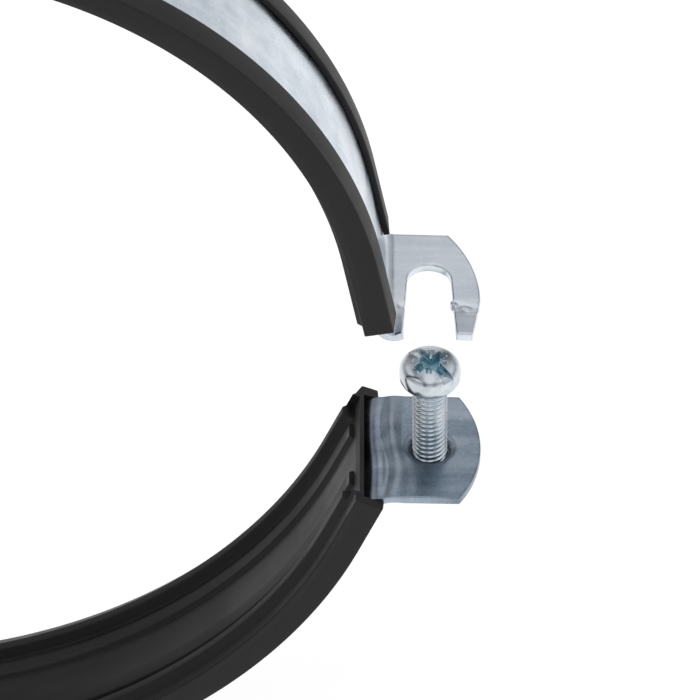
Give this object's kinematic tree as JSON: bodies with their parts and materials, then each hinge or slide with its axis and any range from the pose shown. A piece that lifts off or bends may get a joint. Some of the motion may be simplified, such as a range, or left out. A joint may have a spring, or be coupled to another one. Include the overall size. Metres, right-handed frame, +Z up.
{
  "type": "rubber lined pipe clamp",
  "caption": "Two-part steel pipe clamp with ribbed rubber lining, a side-hooking slotted ear, a captive closing screw and a welded rod nut.",
  "frame": {"origin": "on the pipe's axis, at the middle of the band's width", "axes": "+Y along the pipe, +Z up and away from the connection nut, +X towards the closing screw"},
  "size_m": [0.2078, 0.029, 0.2044],
  "materials": {
    "zinc_band": "bright zinc plated sheet steel, slightly bluish",
    "zinc_screw": "bright zinc plated screw steel",
    "zinc_nut": "zinc plated turned steel",
    "rubber_lining": "black extruded rubber, satin"
  },
  "bodies": {
    "lower_half": {"lower_band": "zinc_band", "lower_lining": "rubber_lining", "connection_nut": "zinc_nut"},
    "pivot": {"pivot_screw": "zinc_screw"},
    "upper_half": {"upper_band": "zinc_band", "upper_lining": "rubber_lining"},
    "closing": {"closing_screw": "zinc_screw"}
  },
  "joints": [
    {"name": "upper_swing", "type": "hinge", "parent": "lower_half", "child": "pivot", "pos_m": [-0.0953, 0, -0.014], "axis": [0, 0, 1], "continuous": true},
    {"name": "upper_tilt", "type": "hinge", "parent": "pivot", "child": "upper_half", "pos_m": [-0.0953, 0, -0.014], "axis": [0, -1, 0], "range_deg": [-4.3, 6]},
    {"name": "closing_turn", "type": "hinge", "parent": "lower_half", "child": "closing", "pos_m": [0.0953, 0, -0.024], "axis": [0, 0, 1], "continuous": true}
  ]
}
